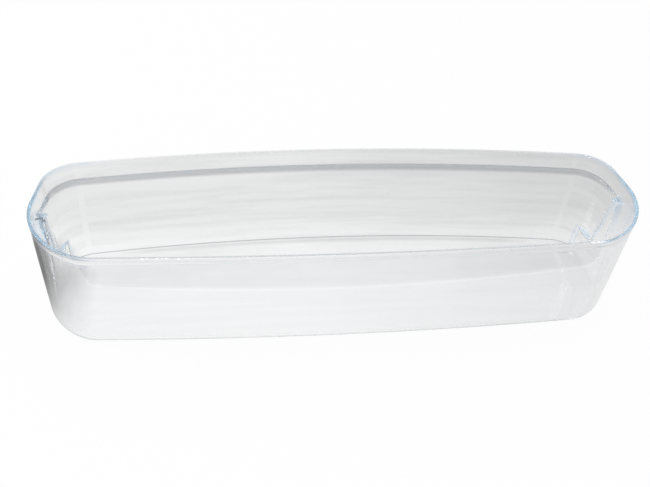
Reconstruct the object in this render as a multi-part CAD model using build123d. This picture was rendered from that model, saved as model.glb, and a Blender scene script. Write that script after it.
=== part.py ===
from build123d import *
import os
from math import cos, pi, radians, sin, sqrt, tan

# A fridge door shelf: a clear one-piece moulded tray, in millimetres.
# X runs along the shelf, Y from the front (the user's side) to the back (the door's side), Z up.
# The origin is at the middle of the underside.

# Overall size; LENGTH is taken where the straight ends begin, and the front corners swell a little past it
LENGTH = 470.0
DEPTH = 127.5
HEIGHT = 100.0

# Walls
WALL = 2.6
FLOOR = 3.0
FLOOR_RADIUS = 4.8
FOOT_RADIUS = 7.0
RIM_RADIUS = 1.2

# How far each wall leans out from foot to rim
FRONT_LEAN = 8.0
END_LEAN = 3.0

# Plan outline: bowed front and back, ends that draw in towards the back
FRONT_BOW = 6.6
FRONT_BOW_FOOT = 7.4
BACK_BOW = 15.8
BACK_CORNER = 30.0
END_TAPER = 10.0
END_RUN = 42.0
FRONT_CORNER = 49.0
FRONT_CORNER_FOOT = 39.5
CORNER_FULLNESS = 0.53

# Thin lip along the rim, a little proud of the outer face below it
LIP_HEIGHT = 5.1
LIP_STEP = 0.3

# Rounded ledge inside the back wall under the rim band, which fades out along the ends;
# the outer face of the back flares out by as much, over a longer height that ends level with the ledge
LEDGE_DROP = 14.4
LEDGE = 4.6
LEDGE_ROUND = 4.6
LEDGE_SECTIONS = 5
FLARE_DROP = 40.0

# Small step along the back of the floor, just above the rounding of the floor's edge
FLOOR_STEP = 1.0
FLOOR_STEP_RISE = 0.4

# Locating pocket in each end wall, open outside and below, for a boss of the door liner
POCKET_DEPTH = 5.0
POCKET_WALL = 2.2
POCKET_EDGE = 1.5
COLUMN_DROP = 12.0
COLUMN_TOP_WIDTH = 7.6
COLUMN_TOP_ROUNDING = 0.4
COLUMN_FORWARD = 2.1
COLUMN_FRONT_DRAFT = 6.2
COLUMN_BACK_DRAFT = 10.0
STEP_TOP = 32.0
STEP_BACK_GAP = 12.0
STEP_DRAFT = 2.0

# How far a cutting solid runs past the face that it opens
OVERRUN = 10.0

LEDGE_Z = HEIGHT - LEDGE_DROP
FLARE_Z = HEIGHT - FLARE_DROP
STEP_Z = FLOOR + FLOOR_RADIUS + FLOOR_STEP_RISE
END_START_Y = DEPTH / 2 - BACK_BOW - END_RUN


def bow_radius(half_chord, bow):
    """Radius of an arc that rises by bow over a chord."""
    return (half_chord**2 + bow**2) / (2 * bow)


def section(z, inset=0.0, ledge=0.0):
    """Plan outline at height z, set in by a wall, with the back drawn in further by a ledge."""
    lean = 1 - z / HEIGHT
    half_length = LENGTH / 2 - END_LEAN * lean - inset
    front_y = -DEPTH / 2 + FRONT_LEAN * lean + inset
    back_y = DEPTH / 2 - inset - ledge
    front_bow = FRONT_BOW + (FRONT_BOW_FOOT - FRONT_BOW) * lean
    corner = FRONT_CORNER + (FRONT_CORNER_FOOT - FRONT_CORNER) * lean - inset

    # Front arc and the point where the front corner leaves it
    front_radius = bow_radius(half_length, front_bow)
    corner_x = half_length - corner
    rise = sqrt(front_radius**2 - corner_x**2)
    corner_y = front_y + front_radius - rise
    front_slope = corner_x / rise

    # Straight end, which the ledge turns about its front point
    end_slope = tan(radians(END_TAPER))
    ledge_slope = end_slope + ledge / END_RUN

    # Where the end line meets the back arc, before the corner is rounded
    back_radius = bow_radius(half_length, BACK_BOW)
    centre_y = back_y - back_radius
    start = END_START_Y - centre_y
    a = 1 + ledge_slope**2
    b = start - ledge_slope * half_length
    c = half_length**2 + start**2 - back_radius**2
    run = (-b + sqrt(b**2 - a * c)) / a
    meet = (half_length - ledge_slope * run, END_START_Y + run)

    # Front corner: one smooth curve from the front arc to the end
    corner_run = END_START_Y - (front_y + front_bow)
    first = (corner_x, corner_y)
    last = (half_length, END_START_Y)
    out = CORNER_FULLNESS * corner
    back = CORNER_FULLNESS * corner_run
    second = (corner_x + out, corner_y + out * front_slope)
    third = (half_length + back * end_slope, END_START_Y - back)

    def left(point):
        return (-point[0], point[1])

    edges = [
        ThreePointArc(left(first), (0, front_y), first),
        Bezier(first, second, third, last),
        Line(last, meet),
        ThreePointArc(meet, (0, back_y), left(meet)),
        Line(left(meet), left(last)),
        Bezier(left(last), left(third), left(second), left(first)),
    ]
    outline = make_face(edges)
    back_corners = outline.vertices().sort_by(Axis.Y)[-2:]
    return Pos(0, 0, z) * fillet(back_corners, BACK_CORNER - inset)


def foot_edges(solid):
    """The edges around the underside of a solid."""
    return solid.edges().group_by(Axis.Z)[0]


def rim_edges(solid):
    """The edges around the top of a solid."""
    return solid.edges().group_by(Axis.Z)[-1]


def outer_form():
    """The tray as a solid block, with its foot rounded and its lip along the rim."""
    lip_z = HEIGHT - LIP_HEIGHT
    lower = loft([section(0, LIP_STEP, LEDGE), section(FLARE_Z, LIP_STEP, LEDGE)], ruled=True)
    flare = loft([section(FLARE_Z, LIP_STEP, LEDGE), section(LEDGE_Z, LIP_STEP)], ruled=True)
    upper = loft([section(LEDGE_Z, LIP_STEP), section(lip_z, LIP_STEP)], ruled=True)
    lip = loft([section(lip_z), section(HEIGHT)], ruled=True)
    return fillet(foot_edges(lower), FOOT_RADIUS) + flare + upper + lip


def ledge_section(turn):
    """Outline of the inside on the ledge's rounding, which ends at the ledge's top after a quarter turn."""
    return section(LEDGE_Z - LEDGE_ROUND * (1 - sin(turn)), WALL, LEDGE * cos(turn))


def inside():
    """The space inside the tray, with its floor edge rounded."""
    turns = [pi / 2 * i / LEDGE_SECTIONS for i in range(LEDGE_SECTIONS + 1)]
    stepped = LEDGE + FLOOR_STEP
    floor = loft([section(FLOOR, WALL, stepped), section(STEP_Z, WALL, stepped)], ruled=True)
    middle = loft([section(STEP_Z, WALL, LEDGE), ledge_section(turns[0])], ruled=True)
    ledge = loft([ledge_section(turn) for turn in turns], ruled=True)
    upper = loft([section(LEDGE_Z, WALL), section(HEIGHT + OVERRUN, WALL)], ruled=True)
    return fillet(foot_edges(floor), FLOOR_RADIUS) + middle + ledge + upper


def pocket_profile():
    """Outline of a pocket's inner skin on the end wall: a tall column with a low step behind it."""
    column_top = HEIGHT - COLUMN_DROP
    front_top = -COLUMN_FORWARD - COLUMN_TOP_WIDTH / 2
    back_top = front_top + COLUMN_TOP_WIDTH
    front_foot = front_top - (column_top + OVERRUN) * tan(radians(COLUMN_FRONT_DRAFT))
    back_step = back_top + (column_top - STEP_TOP) * tan(radians(COLUMN_BACK_DRAFT))
    step_back = END_RUN - STEP_BACK_GAP
    step_foot = step_back + (STEP_TOP + OVERRUN) * tan(radians(STEP_DRAFT))
    outline = Polyline(
        (front_foot, -OVERRUN),
        (front_top, column_top),
        (back_top, column_top),
        (back_step, STEP_TOP),
        (step_back, STEP_TOP),
        (step_foot, -OVERRUN),
        close=True,
    )
    face = make_face(outline)
    tops = face.vertices().sort_by(Axis.Y)[-2:]
    return fillet(tops, COLUMN_TOP_WIDTH * COLUMN_TOP_ROUNDING)


def pocket():
    """Skin and hollow of the pocket in the right-hand end, both running out past the end wall."""
    end_slope = tan(radians(END_TAPER))
    foot_x = LENGTH / 2 - END_LEAN - WALL
    end = Plane(origin=(foot_x - POCKET_DEPTH, END_START_Y, 0),
                x_dir=(-end_slope, 1, 0), z_dir=(1, end_slope, 0))
    profile = pocket_profile()
    reach = POCKET_DEPTH + WALL + END_LEAN + OVERRUN
    skin = end * extrude(profile, reach)
    skin = fillet(skin.faces().sort_by(Axis.X)[0].edges(), POCKET_EDGE)
    hollow = end.offset(POCKET_WALL) * extrude(offset(profile, -POCKET_WALL), reach)
    return skin, hollow


skin, hollow = pocket()
space = inside() - skin - mirror(skin, Plane.YZ)
shelf = outer_form() - space - hollow - mirror(hollow, Plane.YZ)
shelf = fillet(rim_edges(shelf), RIM_RADIUS)

os.makedirs("parts", exist_ok=True)
export_step(shelf, "parts/door_shelf.step")
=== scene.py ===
from math import cos, pi, radians, sin, sqrt, tan

import bpy
import numpy as np
from mathutils import Matrix, Vector


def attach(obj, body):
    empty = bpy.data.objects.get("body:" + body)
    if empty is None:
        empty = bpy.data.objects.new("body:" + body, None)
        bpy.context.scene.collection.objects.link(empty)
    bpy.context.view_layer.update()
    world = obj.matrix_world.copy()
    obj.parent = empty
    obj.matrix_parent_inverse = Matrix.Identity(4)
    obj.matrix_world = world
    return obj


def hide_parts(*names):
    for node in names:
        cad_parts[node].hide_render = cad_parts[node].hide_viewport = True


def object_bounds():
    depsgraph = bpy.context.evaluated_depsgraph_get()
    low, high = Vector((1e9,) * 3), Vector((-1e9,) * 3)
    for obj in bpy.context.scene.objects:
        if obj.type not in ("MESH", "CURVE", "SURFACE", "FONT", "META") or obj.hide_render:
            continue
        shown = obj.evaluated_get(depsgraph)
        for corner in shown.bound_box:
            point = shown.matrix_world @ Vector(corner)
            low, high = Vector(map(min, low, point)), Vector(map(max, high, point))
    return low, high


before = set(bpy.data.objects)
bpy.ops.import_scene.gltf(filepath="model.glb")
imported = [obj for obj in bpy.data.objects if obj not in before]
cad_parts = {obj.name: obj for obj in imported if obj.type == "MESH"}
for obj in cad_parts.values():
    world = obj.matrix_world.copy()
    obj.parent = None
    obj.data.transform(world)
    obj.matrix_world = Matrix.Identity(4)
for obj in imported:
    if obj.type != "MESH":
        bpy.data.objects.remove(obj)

cad_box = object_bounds()

# Camera: the photograph's view of the shelf, for an image 650 wide and 487 high
IMAGE_WIDTH = 650
FOCAL_PIXELS = 856.1
SENSOR_MM = 36.0
CAMERA_PLACE = (-0.0983, -0.5008, 0.5205)
CAMERA_AZIMUTH = 9.818
CAMERA_ELEVATION = 42.644
CAMERA_ROLL = 4.908
CAMERA_CLIP = 0.01

# Stage
FLOOR_SIZE = 8.0
FLOOR_GAP = 0.0002
FLOOR_COLOUR = (0.90, 0.90, 0.905, 1)
FLOOR_GLOW = 0.95

# A white board lies under the shelf; gloss and the plastic show its tone,
# with painted shade that darkens it to the right and the back
BOARD_TONE = 0.96
BOARD_X = (-0.03, 0.35)
BOARD_SHADE_FALL_X = 0.19
BOARD_Y = (0.055, 0.10)
BOARD_SHADE_FALL_Y = 0.15

# Painted light and shade on it: a highlight along its front edge, beyond that edge a dark painted
# reflection of the room that only mirror reflections show, the shadow line along the back of the
# shelf's foot, and a shaded patch beside its left end
EDGE_Y = -0.1045
EDGE_WIDTH = 0.0016
EDGE_HIGHLIGHT = 0.7
BEYOND_BOARD_REFLECTION = 0.02
FOOT_SHADOW = 0.17
FOOT_SHADOW_Y = 0.0615
FOOT_SHADOW_WIDTH = 0.007
FOOT_SHADOW_BOW = 0.285
FOOT_SHADOW_X = (0.16, 0.19)
SHADE = 0.82
SHADE_X = (-0.242, -0.198)
SHADE_Y = (-0.055, 0.015, 0.06, 0.08)
SHADE_FROM_Y = 0.03
SHADE_SLANT = 0.7

# The shelf's sizes in millimetres, as in its solid, but for the softer POCKET_EDGE and LIP_SLOPE
MM = 0.001
LENGTH = 470.0
DEPTH = 127.5
HEIGHT = 100.0
WALL = 2.6
FLOOR = 3.0
FLOOR_RADIUS = 4.8
FLOOR_STEP = 1.0
FLOOR_STEP_RISE = 0.4
FOOT_RADIUS = 7.0
FRONT_LEAN = 8.0
END_LEAN = 3.0
FRONT_BOW = 6.6
FRONT_BOW_FOOT = 7.4
BACK_BOW = 15.8
BACK_CORNER = 30.0
END_TAPER = 10.0
END_RUN = 42.0
FRONT_CORNER = 49.0
FRONT_CORNER_FOOT = 39.5
CORNER_FULLNESS = 0.53
LIP_HEIGHT = 5.1
LIP_STEP = 0.3
LIP_SLOPE = 0.8
RIM_RADIUS = 1.2
LEDGE_DROP = 14.4
LEDGE = 4.6
LEDGE_ROUND = 4.6
FLARE_DROP = 40.0
POCKET_DEPTH = 5.0
POCKET_WALL = 2.2
POCKET_EDGE = 2.4
COLUMN_DROP = 12.0
COLUMN_TOP_WIDTH = 7.6
COLUMN_TOP_ROUNDING = 0.4
COLUMN_FORWARD = 2.1
COLUMN_FRONT_DRAFT = 6.2
COLUMN_BACK_DRAFT = 10.0
STEP_TOP = 32.0
STEP_BACK_GAP = 12.0
STEP_DRAFT = 2.0

LEDGE_Z = HEIGHT - LEDGE_DROP
FLARE_Z = HEIGHT - FLARE_DROP
END_START_Y = DEPTH / 2 - BACK_BOW - END_RUN
END_SLOPE = tan(radians(END_TAPER))

# Steps along half of the plan outline: front, two stretches of front corner, end, back corner, back
FRONT_STEPS = 26
CORNER_STEPS = 22
CORNER_FINE_STEPS = 40
CORNER_FINE_FROM = 0.7
END_STEPS = 40
BACK_CORNER_STEPS = 56
BACK_STEPS = 26

# Steps around each rounding, and how far in from it the flat underside and floor are closed
ROUND_STEPS = 8
FLAT_INSET = 1.0

# Steps up the walls, closer together where the edges of the pockets cross them
OUTER_STEPS = (5, 14, 5, 4, 10, 4, 3)
LIP_STEPS = (2,)
UPPER_STEPS = (3, 4)
INNER_STEPS = (9, 14, 5)
STEP_OUTER_BAND = (6.0, 2.0)
STEP_INNER_BAND = (4.0, 4.0)
COLUMN_OUTER_BAND = 8.0
COLUMN_INNER_BAND = 2.0

# Height left open to a sharp edge, and the angle from which an edge is drawn sharp
SHARP_GAP = 0.1
SHARP_ANGLE = 40.0

# Clear plastic with faint darker streaks along it that paint reflections, and a satin face on the
# ledge and the floor step, painted dark as shade
PLASTIC_COLOUR = (0.985, 0.988, 0.992, 1)
STREAK_COLOUR = (0.86, 0.865, 0.87, 1)
STREAK_STRETCH = (7.0, 7.0, 110.0)
STREAK_DETAIL = 5.0
STREAK_NOISE_ROUGHNESS = 0.62
STREAK_RANGE = (0.42, 0.72)
STREAK_FRONT = 0.2
STREAK_FRONT_Y = (-0.02, 0.02)
# Painted highlights: the streaks are left out in a thin strip along each crease of the back wall,
# so the strip shows lighter
CREASE_X = 0.2055
CREASE_HIGHLIGHT_Y = (0.0, 0.02)
CREASE_HIGHLIGHT_WIDTH = 0.0025
CREASE_HIGHLIGHT_CORE = 0.8
# Painted shade: the satin ledge and floor step are also tinted dark
LEDGE_SHADE_COLOUR = (0.36, 0.385, 0.40, 1)
SATIN_ROUGHNESS = 0.30
SATIN_AND_SHADE_RUN = 30.0
SATIN_AND_SHADE_FULLNESS = 1.6
GLOSS_ROUGHNESS = 0.012
PLASTIC_IOR = 1.57
ABSORB_COLOUR = (0.0, 0.57, 0.89, 1)
ABSORB_DENSITY = 0.15

# Blue of the thick edges: the rim at both ends, less so towards the back, and the pockets' edges
BLUE_COLOUR = (0.40, 0.67, 0.93, 1)
BLUE_X = (178.0, 222.0)
BLUE_Y = (0.0, 30.0)
BLUE_BACK = 0.4
BLUE_POCKET = 0.5
BLUE_FRONT_Z = (50.0, 88.0)

# World light by height, from the horizon up; the camera sees plain white
WORLD_TONES = (
    (0.12, (0.48, 0.49, 0.51, 1)),
    (0.55, (0.80, 0.81, 0.82, 1)),
    (0.95, (0.95, 0.95, 0.95, 1)),
)
WORLD_WHITE = (1, 1, 1, 1)

# Lamps: name, place, size and power
LAMPS = (
    ("lamp_left", (-1.3, 0.2, 1.5), (0.9, 0.9), 8),
    ("lamp_front", (-0.3, -0.9, 1.4), (0.12, 0.12), 2),
)
LAMP_TARGET = (0, 0, 0.05)

# Light runs a long way along the inside of clear walls
LIGHT_BOUNCES = 480


def new_material(name):
    """An empty node material, and its output node."""
    material = bpy.data.materials.new(name)
    material.use_nodes = True
    material.node_tree.nodes.clear()
    output = material.node_tree.nodes.new("ShaderNodeOutputMaterial")
    return material, output


def make_camera():
    """The camera, turned by azimuth and elevation and then rolled about its own axis."""
    azimuth = radians(CAMERA_AZIMUTH)
    elevation = radians(CAMERA_ELEVATION)
    roll = radians(CAMERA_ROLL)
    forward = Vector((sin(azimuth) * cos(elevation),
                      cos(azimuth) * cos(elevation),
                      -sin(elevation)))
    level = Vector((cos(azimuth), -sin(azimuth), 0))
    down = forward.cross(level)
    right = level * cos(roll) - down * sin(roll)
    up = -(level * sin(roll) + down * cos(roll))
    data = bpy.data.cameras.new("camera")
    data.sensor_width = SENSOR_MM
    data.lens = FOCAL_PIXELS * SENSOR_MM / IMAGE_WIDTH
    data.clip_start = CAMERA_CLIP
    camera = bpy.data.objects.new("camera", data)
    turn = Matrix((right, up, -forward)).transposed().to_4x4()
    camera.matrix_world = Matrix.Translation(CAMERA_PLACE) @ turn
    bpy.context.scene.collection.objects.link(camera)
    bpy.context.scene.camera = camera


def math_node(tree, operation, first, second):
    """A Math node; each input is a number or another node's output."""
    node = tree.nodes.new("ShaderNodeMath")
    node.operation = operation
    for socket, value in zip(node.inputs, (first, second)):
        if isinstance(value, (int, float)):
            socket.default_value = value
        else:
            tree.links.new(value, socket)
    return node.outputs[0]


def blend_value(tree, value, low, high, at_low, at_high):
    """A number that runs from at_low to at_high while value runs from low to high."""
    node = tree.nodes.new("ShaderNodeMapRange")
    tree.links.new(value, node.inputs["Value"])
    node.inputs["From Min"].default_value = low
    node.inputs["From Max"].default_value = high
    node.inputs["To Min"].default_value = at_low
    node.inputs["To Max"].default_value = at_high
    return node.outputs["Result"]


def blend_colour(tree, share, first, second):
    """A colour mixed from two by a share; each colour is a constant or another node's output."""
    node = tree.nodes.new("ShaderNodeMix")
    node.data_type = "RGBA"
    tree.links.new(share, node.inputs["Factor"])
    sockets = [socket for socket in node.inputs if socket.type == "RGBA"]
    for socket, value in zip(sockets, (first, second)):
        if isinstance(value, tuple):
            socket.default_value = value
        else:
            tree.links.new(value, socket)
    return [socket for socket in node.outputs if socket.type == "RGBA"][0]


def board_shade(tree, x, y):
    """Share of the shaded patch beside the left end of the shelf."""
    slant = math_node(tree, "MAXIMUM", math_node(tree, "SUBTRACT", y, SHADE_FROM_Y), 0)
    slanted = math_node(tree, "ADD", x, math_node(tree, "MULTIPLY", slant, SHADE_SLANT))
    shade = blend_value(tree, slanted, *SHADE_X, SHADE, 0)
    shade = math_node(tree, "MULTIPLY", shade, blend_value(tree, y, *SHADE_Y[:2], 0, 1))
    return math_node(tree, "MULTIPLY", shade, blend_value(tree, y, *SHADE_Y[2:], 1, 0))


def foot_shadow(tree, x, y):
    """Depth of the shadow line along the bowed back of the shelf's foot."""
    bow = math_node(tree, "MULTIPLY", math_node(tree, "MULTIPLY", x, x), FOOT_SHADOW_BOW)
    off = math_node(tree, "SUBTRACT", math_node(tree, "ADD", y, bow), FOOT_SHADOW_Y)
    off = math_node(tree, "ABSOLUTE", off, 0)
    depth = blend_value(tree, off, 0, FOOT_SHADOW_WIDTH, FOOT_SHADOW, 0)
    ends = blend_value(tree, math_node(tree, "ABSOLUTE", x, 0), *FOOT_SHADOW_X, 1, 0)
    return math_node(tree, "MULTIPLY", depth, ends)


def board_tone(tree, mirrored):
    """Tone of the white board with its painted shade and highlight, and, for mirrored rays, a
    painted dark reflection of the room beyond its front edge.
    """
    place = tree.nodes.new("ShaderNodeNewGeometry")
    split = tree.nodes.new("ShaderNodeSeparateXYZ")
    tree.links.new(place.outputs["Position"], split.inputs[0])
    x = split.outputs["X"]
    y = split.outputs["Y"]
    # Painted shade: the board darkens to the right and towards the back
    tone = blend_value(tree, x, *BOARD_X, BOARD_TONE, BOARD_TONE - BOARD_SHADE_FALL_X)
    tone = math_node(tree, "SUBTRACT", tone, blend_value(tree, y, *BOARD_Y, 0, BOARD_SHADE_FALL_Y))
    tone = math_node(tree, "SUBTRACT", tone, foot_shadow(tree, x, y))
    lit = math_node(tree, "SUBTRACT", 1, board_shade(tree, x, y))
    tone = math_node(tree, "MULTIPLY", tone, lit)
    on_board = blend_value(tree, y, EDGE_Y - EDGE_WIDTH, EDGE_Y, 0, 1)
    # Painted highlight: a thin bright line along the board's front edge
    off_line = math_node(tree, "ABSOLUTE", math_node(tree, "SUBTRACT", y, EDGE_Y), 0)
    line = blend_value(tree, off_line, 0, EDGE_WIDTH, EDGE_HIGHLIGHT, 0)
    # Painted reflection: mirrored rays see a dark room on the floor beyond the board's front edge
    beyond = math_node(tree, "MULTIPLY", math_node(tree, "SUBTRACT", 1, on_board), mirrored)
    inner = math_node(tree, "MULTIPLY", tone, math_node(tree, "SUBTRACT", 1, beyond))
    outer = math_node(tree, "MULTIPLY", beyond, BEYOND_BOARD_REFLECTION)
    return math_node(tree, "ADD", math_node(tree, "ADD", inner, outer), line)


def floor_material():
    """A pale floor: white to the camera, and in the board's tone to gloss and the plastic."""
    material, output = new_material("studio_floor")
    tree = material.node_tree
    diffuse = tree.nodes.new("ShaderNodeBsdfDiffuse")
    diffuse.inputs["Color"].default_value = FLOOR_COLOUR
    path = tree.nodes.new("ShaderNodeLightPath")
    camera = path.outputs["Is Camera Ray"]
    glossy = path.outputs["Is Glossy Ray"]
    through = path.outputs["Is Transmission Ray"]
    shown = math_node(tree, "MAXIMUM", camera, math_node(tree, "MAXIMUM", glossy, through))
    mirrored = math_node(tree, "MULTIPLY", glossy, math_node(tree, "SUBTRACT", 1, through))
    unseen = math_node(tree, "SUBTRACT", 1, camera)
    tone = board_tone(tree, mirrored)
    strength = math_node(tree, "ADD", camera, math_node(tree, "MULTIPLY", unseen, tone))
    glow = tree.nodes.new("ShaderNodeEmission")
    tree.links.new(strength, glow.inputs["Strength"])
    mix = tree.nodes.new("ShaderNodeMixShader")
    tree.links.new(math_node(tree, "MULTIPLY", shown, FLOOR_GLOW), mix.inputs["Fac"])
    tree.links.new(diffuse.outputs[0], mix.inputs[1])
    tree.links.new(glow.outputs[0], mix.inputs[2])
    tree.links.new(mix.outputs[0], output.inputs["Surface"])
    return material


def make_floor():
    """A wide flat floor just under the shelf."""
    half = FLOOR_SIZE / 2
    mesh = bpy.data.meshes.new("studio_floor")
    corners = [(-half, -half, 0), (half, -half, 0), (half, half, 0), (-half, half, 0)]
    mesh.from_pydata(corners, [], [(0, 1, 2, 3)])
    floor = bpy.data.objects.new("studio_floor", mesh)
    floor.location.z = cad_box[0].z - FLOOR_GAP
    floor.data.materials.append(floor_material())
    bpy.context.scene.collection.objects.link(floor)


def make_world():
    """Soft studio light from above, darker towards the horizon; the camera sees plain white."""
    world = bpy.data.worlds.new("studio")
    world.use_nodes = True
    tree = world.node_tree
    background = tree.nodes["Background"]
    place = tree.nodes.new("ShaderNodeTexCoord")
    split = tree.nodes.new("ShaderNodeSeparateXYZ")
    tree.links.new(place.outputs["Generated"], split.inputs[0])
    ramp = tree.nodes.new("ShaderNodeValToRGB")
    tones = ramp.color_ramp.elements
    tones.remove(tones[1])
    tones[0].position, tones[0].color = WORLD_TONES[0]
    for position, tone in WORLD_TONES[1:]:
        tones.new(position).color = tone
    tree.links.new(split.outputs["Z"], ramp.inputs["Fac"])
    path = tree.nodes.new("ShaderNodeLightPath")
    colour = blend_colour(tree, path.outputs["Is Camera Ray"], ramp.outputs["Color"], WORLD_WHITE)
    tree.links.new(colour, background.inputs["Color"])
    bpy.context.scene.world = world


def area_lamp(name, place, size, power):
    """A soft rectangular lamp that faces the shelf."""
    data = bpy.data.lights.new(name, "AREA")
    data.shape = "RECTANGLE"
    data.size = size[0]
    data.size_y = size[1]
    data.energy = power
    lamp = bpy.data.objects.new(name, data)
    lamp.location = place
    aim = Vector(LAMP_TARGET) - Vector(place)
    lamp.rotation_euler = aim.to_track_quat("-Z", "Y").to_euler()
    bpy.context.scene.collection.objects.link(lamp)


def reflection_streaks(tree):
    """Share of the painted reflection streaks: long streaks, strongest on the back wall, left out
    along its creases.
    """
    place = tree.nodes.new("ShaderNodeTexCoord")
    split = tree.nodes.new("ShaderNodeSeparateXYZ")
    tree.links.new(place.outputs["Object"], split.inputs[0])
    stretch = tree.nodes.new("ShaderNodeMapping")
    stretch.inputs["Scale"].default_value = STREAK_STRETCH
    tree.links.new(place.outputs["Object"], stretch.inputs["Vector"])
    noise = tree.nodes.new("ShaderNodeTexNoise")
    noise.inputs["Scale"].default_value = 1.0
    noise.inputs["Detail"].default_value = STREAK_DETAIL
    noise.inputs["Roughness"].default_value = STREAK_NOISE_ROUGHNESS
    tree.links.new(stretch.outputs["Vector"], noise.inputs["Vector"])
    marks = blend_value(tree, noise.outputs["Fac"], *STREAK_RANGE, 0, 1)
    side = blend_value(tree, split.outputs["Y"], *STREAK_FRONT_Y, STREAK_FRONT, 1)
    # Painted highlight: no streaks in a thin strip along each crease of the back wall
    across = math_node(tree, "ABSOLUTE", split.outputs["X"], 0)
    off_crease = math_node(tree, "SUBTRACT", across, CREASE_X)
    off_crease = math_node(tree, "ABSOLUTE", off_crease, 0)
    beside = blend_value(tree, off_crease, CREASE_HIGHLIGHT_WIDTH * CREASE_HIGHLIGHT_CORE, CREASE_HIGHLIGHT_WIDTH, 0, 1)
    front = blend_value(tree, split.outputs["Y"], *CREASE_HIGHLIGHT_Y, 1, 0)
    outside_crease_highlight = math_node(tree, "MAXIMUM", beside, front)
    return math_node(tree, "MULTIPLY", math_node(tree, "MULTIPLY", marks, side), outside_crease_highlight)


def clear_plastic():
    """Clear moulded plastic, with painted reflection streaks, blue edges and a satin ledge painted
    dark as shade.
    """
    material, output = new_material("clear_plastic_look")
    tree = material.node_tree
    shader = tree.nodes.new("ShaderNodeBsdfPrincipled")
    satin_and_shade = tree.nodes.new("ShaderNodeAttribute")
    satin_and_shade.attribute_name = "satin_and_shade"
    blue = tree.nodes.new("ShaderNodeAttribute")
    blue.attribute_name = "blue"
    # Painted reflections: faint darker streaks along the walls
    clear = blend_colour(tree, reflection_streaks(tree), PLASTIC_COLOUR, STREAK_COLOUR)
    clear = blend_colour(tree, blue.outputs["Fac"], clear, BLUE_COLOUR)
    # Painted shade: a dark tint on the satin ledge and floor step
    colour = blend_colour(tree, satin_and_shade.outputs["Fac"], clear, LEDGE_SHADE_COLOUR)
    tree.links.new(colour, shader.inputs["Base Color"])
    roughness = blend_value(tree, satin_and_shade.outputs["Fac"], 0, 1, GLOSS_ROUGHNESS, SATIN_ROUGHNESS)
    tree.links.new(roughness, shader.inputs["Roughness"])
    shader.inputs["IOR"].default_value = PLASTIC_IOR
    shader.inputs["Transmission Weight"].default_value = 1.0
    absorb = tree.nodes.new("ShaderNodeVolumeAbsorption")
    absorb.inputs["Color"].default_value = ABSORB_COLOUR
    absorb.inputs["Density"].default_value = ABSORB_DENSITY
    tree.links.new(shader.outputs[0], output.inputs["Surface"])
    tree.links.new(absorb.outputs[0], output.inputs["Volume"])
    return material


def half_outline(z, inset, ledge):
    """Right half of the plan outline at height z, from mid-front to mid-back."""
    lean = 1 - z / HEIGHT
    half_length = LENGTH / 2 - END_LEAN * lean - inset
    front_y = -DEPTH / 2 + FRONT_LEAN * lean + inset
    back_y = DEPTH / 2 - inset - ledge
    front_bow = FRONT_BOW + (FRONT_BOW_FOOT - FRONT_BOW) * lean
    corner = FRONT_CORNER + (FRONT_CORNER_FOOT - FRONT_CORNER) * lean - inset
    corner_radius = BACK_CORNER - inset

    # Front arc
    front_radius = (half_length**2 + front_bow**2) / (2 * front_bow)
    corner_x = half_length - corner
    x = np.linspace(0, corner_x, FRONT_STEPS + 1)
    front = np.c_[x, front_y + front_radius - np.sqrt(front_radius**2 - x**2)]

    # Front corner
    out = CORNER_FULLNESS * corner
    back = CORNER_FULLNESS * (END_START_Y - (front_y + front_bow))
    first = front[-1]
    last = np.array((half_length, END_START_Y))
    second = first + out * np.array((1, corner_x / sqrt(front_radius**2 - corner_x**2)))
    third = last - back * np.array((-END_SLOPE, 1))
    coarse = np.linspace(0, CORNER_FINE_FROM, CORNER_STEPS + 1)[1:]
    fine = np.linspace(CORNER_FINE_FROM, 1, CORNER_FINE_STEPS + 1)[1:]
    t = np.r_[coarse, fine][:, None]
    rest = 1 - t
    curve = rest**3 * first + 3 * t * rest**2 * second + 3 * t**2 * rest * third + t**3 * last

    # Straight end and back corner, which touches the end line and the back arc
    back_radius = (half_length**2 + BACK_BOW**2) / (2 * BACK_BOW)
    centre = np.array((0, back_y - back_radius))
    along = np.array((-(END_SLOPE + ledge / END_RUN), 1))
    along = along / np.hypot(*along)
    outward = np.array((along[1], -along[0]))
    start = last - corner_radius * outward - centre
    dot = start @ along
    run = -dot + sqrt(dot**2 - start @ start + (back_radius - corner_radius)**2)
    end = last + along * np.linspace(0, run, END_STEPS + 1)[1:, None]
    hub = end[-1] - corner_radius * outward
    turn_from = np.arctan2(*outward[::-1])
    turn_to = np.arctan2(*(hub - centre)[::-1])
    turn = np.linspace(turn_from, turn_to, BACK_CORNER_STEPS + 1)
    rounded = hub + corner_radius * np.c_[np.cos(turn), np.sin(turn)][1:]
    sweep = np.linspace(turn[-1], pi / 2, BACK_STEPS + 1)[1:]
    rear = centre + back_radius * np.c_[np.cos(sweep), np.sin(sweep)]
    return np.vstack((front, curve, end, rounded, rear))


def round_join(first, second, radius):
    """Depth inside two borders that meet in a rounded corner."""
    gap = np.hypot(np.maximum(radius - first, 0), np.maximum(radius - second, 0))
    return radius - gap + np.maximum(np.minimum(first, second) - radius, 0)


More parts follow.
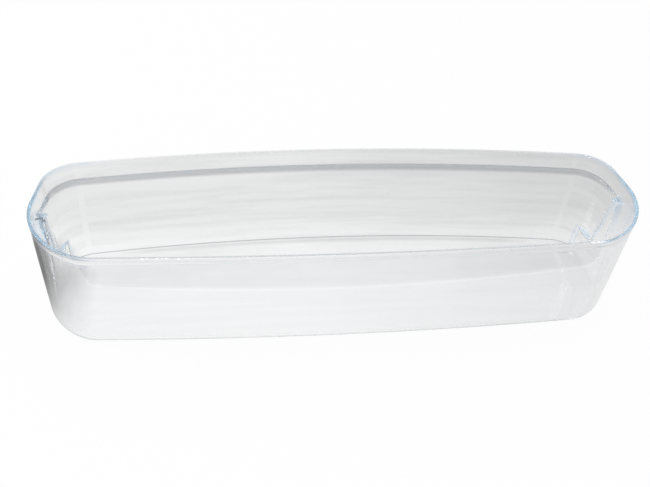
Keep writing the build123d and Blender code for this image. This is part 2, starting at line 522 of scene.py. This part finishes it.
def pocket_inside(along, z):
    """How far a point of the end wall lies inside the pocket's outline, negative outside it."""
    column_top = HEIGHT - COLUMN_DROP
    front_top = -COLUMN_FORWARD - COLUMN_TOP_WIDTH / 2
    back_top = front_top + COLUMN_TOP_WIDTH
    front = along - front_top + (column_top - z) * tan(radians(COLUMN_FRONT_DRAFT))
    back = back_top - along + (column_top - z) * tan(radians(COLUMN_BACK_DRAFT))
    step_back = END_RUN - STEP_BACK_GAP - along + (STEP_TOP - z) * tan(radians(STEP_DRAFT))
    rounding = COLUMN_TOP_WIDTH * COLUMN_TOP_ROUNDING
    column = round_join(round_join(front, column_top - z, rounding), back, rounding)
    column = round_join(column, column_top - z, rounding)
    step = np.minimum(np.minimum(front, step_back), STEP_TOP - z)
    return np.maximum(column, step)


def press_pocket(points, z, wall):
    """Points of a wall's level, pressed in to the pocket's face, and their shares of its edge."""
    side = np.sign(points[:, 0])
    normal = np.array((1, END_SLOPE)) / np.hypot(1, END_SLOPE)
    along_end = np.array((-normal[1], normal[0]))
    origin = np.array((LENGTH / 2 - END_LEAN - WALL - POCKET_DEPTH, END_START_Y))
    local = np.c_[np.abs(points[:, 0]), points[:, 1]] - origin
    height = np.maximum(local @ normal - wall, 0)
    inside = pocket_inside(local @ along_end, z) - wall
    share = np.clip(inside / POCKET_EDGE + 0.5, 0, 1)
    share = share**2 * (3 - 2 * share)
    away_from_ends = np.abs(points[:, 0]) < LENGTH / 4
    share[away_from_ends] = 0
    moved = points.copy()
    moved[:, 0] -= side * normal[0] * height * share
    moved[:, 1] -= normal[1] * height * share
    return moved, 4 * share * (1 - share)


def level(z, inset, ledge, wall, satin_and_shade=0.0, rim=0.0):
    """One closed level of the shelf's skin, with its shares of satin with painted shade and of
    blue.
    """
    half = half_outline(z, inset, ledge)
    left = half[-2:0:-1] * (-1, 1)
    loop, edge = press_pocket(np.vstack((half, left)), z, wall)
    satin_and_shade_share = satin_and_shade * np.clip((loop[:, 1] - END_START_Y) / SATIN_AND_SHADE_RUN, 0, 1)
    rim_share = rim * np.interp(np.abs(loop[:, 0]), BLUE_X, (0, 1))
    rim_share *= np.interp(loop[:, 1], BLUE_Y, (1, BLUE_BACK))
    edge *= np.where(loop[:, 1] < END_START_Y, np.interp(z, BLUE_FRONT_Z, (0, 1)), 1)
    blue_share = np.maximum(rim_share, BLUE_POCKET * edge)
    return np.c_[loop, np.full(len(loop), z), satin_and_shade_share, blue_share]


def heights(steps, start, *stops):
    """Heights from start to each stop in turn, each stretch with its own number of steps."""
    out = [start]
    for count, stop in zip(steps, stops):
        out.extend(np.linspace(out[-1], stop, count + 1)[1:])
    return out


def outer_level(z, inset):
    """A level of the outer skin, whose back flares out up to the height of the ledge."""
    share = np.clip((LEDGE_Z - z) / (LEDGE_Z - FLARE_Z), 0, 1)
    return level(z, inset, LEDGE * share, POCKET_WALL)


def skin_levels():
    """All levels of the skin: up the outside, over the rim and down the inside."""
    turns = np.linspace(0, pi / 2, ROUND_STEPS + 1)
    lip_z = HEIGHT - LIP_HEIGHT
    column_top = HEIGHT - COLUMN_DROP

    # Underside, foot and outer face
    levels = [outer_level(0, FOOT_RADIUS + LIP_STEP + FLAT_INSET)]
    for turn in turns:
        z = FOOT_RADIUS * (1 - cos(turn))
        levels.append(outer_level(z, LIP_STEP + FOOT_RADIUS * (1 - sin(turn))))
    below, above = STEP_OUTER_BAND
    outer = heights(OUTER_STEPS, FOOT_RADIUS, STEP_TOP - below, STEP_TOP + above, FLARE_Z,
                    column_top - COLUMN_OUTER_BAND, LEDGE_Z, column_top, lip_z)
    for z in outer[1:]:
        levels.append(outer_level(z, LIP_STEP))

    # Lip and rim
    for z in heights(LIP_STEPS, lip_z + LIP_SLOPE, HEIGHT - RIM_RADIUS):
        levels.append(level(z, 0, 0, POCKET_WALL))
    for turn in turns[1:]:
        z = HEIGHT - RIM_RADIUS * (1 - sin(turn))
        levels.append(level(z, RIM_RADIUS * (1 - cos(turn)), 0, POCKET_WALL, rim=1))
    for turn in turns:
        z = HEIGHT - RIM_RADIUS * (1 - cos(turn))
        levels.append(level(z, WALL - RIM_RADIUS * (1 - sin(turn)), 0, 0, rim=1))

    # Inner face above the ledge, the ledge, and the inner face below it
    upper = heights(UPPER_STEPS, HEIGHT - RIM_RADIUS, column_top + COLUMN_INNER_BAND, LEDGE_Z)
    for z in upper[1:]:
        levels.append(level(z, WALL, 0, 0))
    # The ledge's rounding: satin, with painted shade
    for turn in turns:
        z = LEDGE_Z - SHARP_GAP - LEDGE_ROUND * (1 - cos(turn))
        satin_and_shade = min(SATIN_AND_SHADE_FULLNESS * cos(turn), 1)
        levels.append(level(z, WALL, LEDGE * sin(turn), 0, satin_and_shade=satin_and_shade))
    step_z = FLOOR + FLOOR_RADIUS + FLOOR_STEP_RISE
    above, below = STEP_INNER_BAND
    inner = heights(INNER_STEPS, LEDGE_Z - LEDGE_ROUND, STEP_TOP + above, STEP_TOP - below, step_z)
    for z in inner[1:]:
        levels.append(level(z, WALL, LEDGE, 0))

    # Step along the back of the floor, and the floor
    stepped = LEDGE + FLOOR_STEP
    # The floor step: satin, with painted shade
    levels.append(level(step_z - SHARP_GAP, WALL, LEDGE, 0, satin_and_shade=1))
    levels.append(level(step_z - SHARP_GAP, WALL, stepped, 0, satin_and_shade=1))
    for turn in turns:
        z = FLOOR + FLOOR_RADIUS * (1 - sin(turn))
        levels.append(level(z, WALL + FLOOR_RADIUS * (1 - cos(turn)), stepped, 0))
    levels.append(level(FLOOR, WALL + FLOOR_RADIUS + FLAT_INSET, stepped, 0))
    return levels


def make_shelf():
    """The shelf's skin as one closed mesh of fine levels, in the place of its solid."""
    levels = skin_levels()
    count = len(levels[0])
    points = np.vstack(levels)
    faces = [tuple(reversed(range(count)))]
    for row in range(len(levels) - 1):
        low = row * count
        high = low + count
        for i in range(count):
            j = (i + 1) % count
            faces.append((low + i, low + j, high + j, high + i))
    last = (len(levels) - 1) * count
    faces.append(tuple(range(last, last + count)))
    mesh = bpy.data.meshes.new("shelf_skin")
    mesh.from_pydata((points[:, :3] * MM).tolist(), [], faces)
    mesh.attributes.new("satin_and_shade", "FLOAT", "POINT").data.foreach_set("value", points[:, 3])
    mesh.attributes.new("blue", "FLOAT", "POINT").data.foreach_set("value", points[:, 4])
    mesh.polygons.foreach_set("use_smooth", [True] * len(faces))
    mesh.set_sharp_from_angle(angle=radians(SHARP_ANGLE))
    mesh.validate()
    shelf = bpy.data.objects.new("shelf_skin", mesh)
    shelf.data.materials.append(clear_plastic())
    bpy.context.scene.collection.objects.link(shelf)
    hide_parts("door_shelf")
    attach(shelf, "root")


scene = bpy.context.scene
scene.view_settings.view_transform = "Standard"
scene.cycles.max_bounces = LIGHT_BOUNCES
scene.cycles.transmission_bounces = LIGHT_BOUNCES
scene.cycles.glossy_bounces = LIGHT_BOUNCES

make_camera()
make_floor()
make_world()
for lamp_values in LAMPS:
    area_lamp(*lamp_values)
make_shelf()
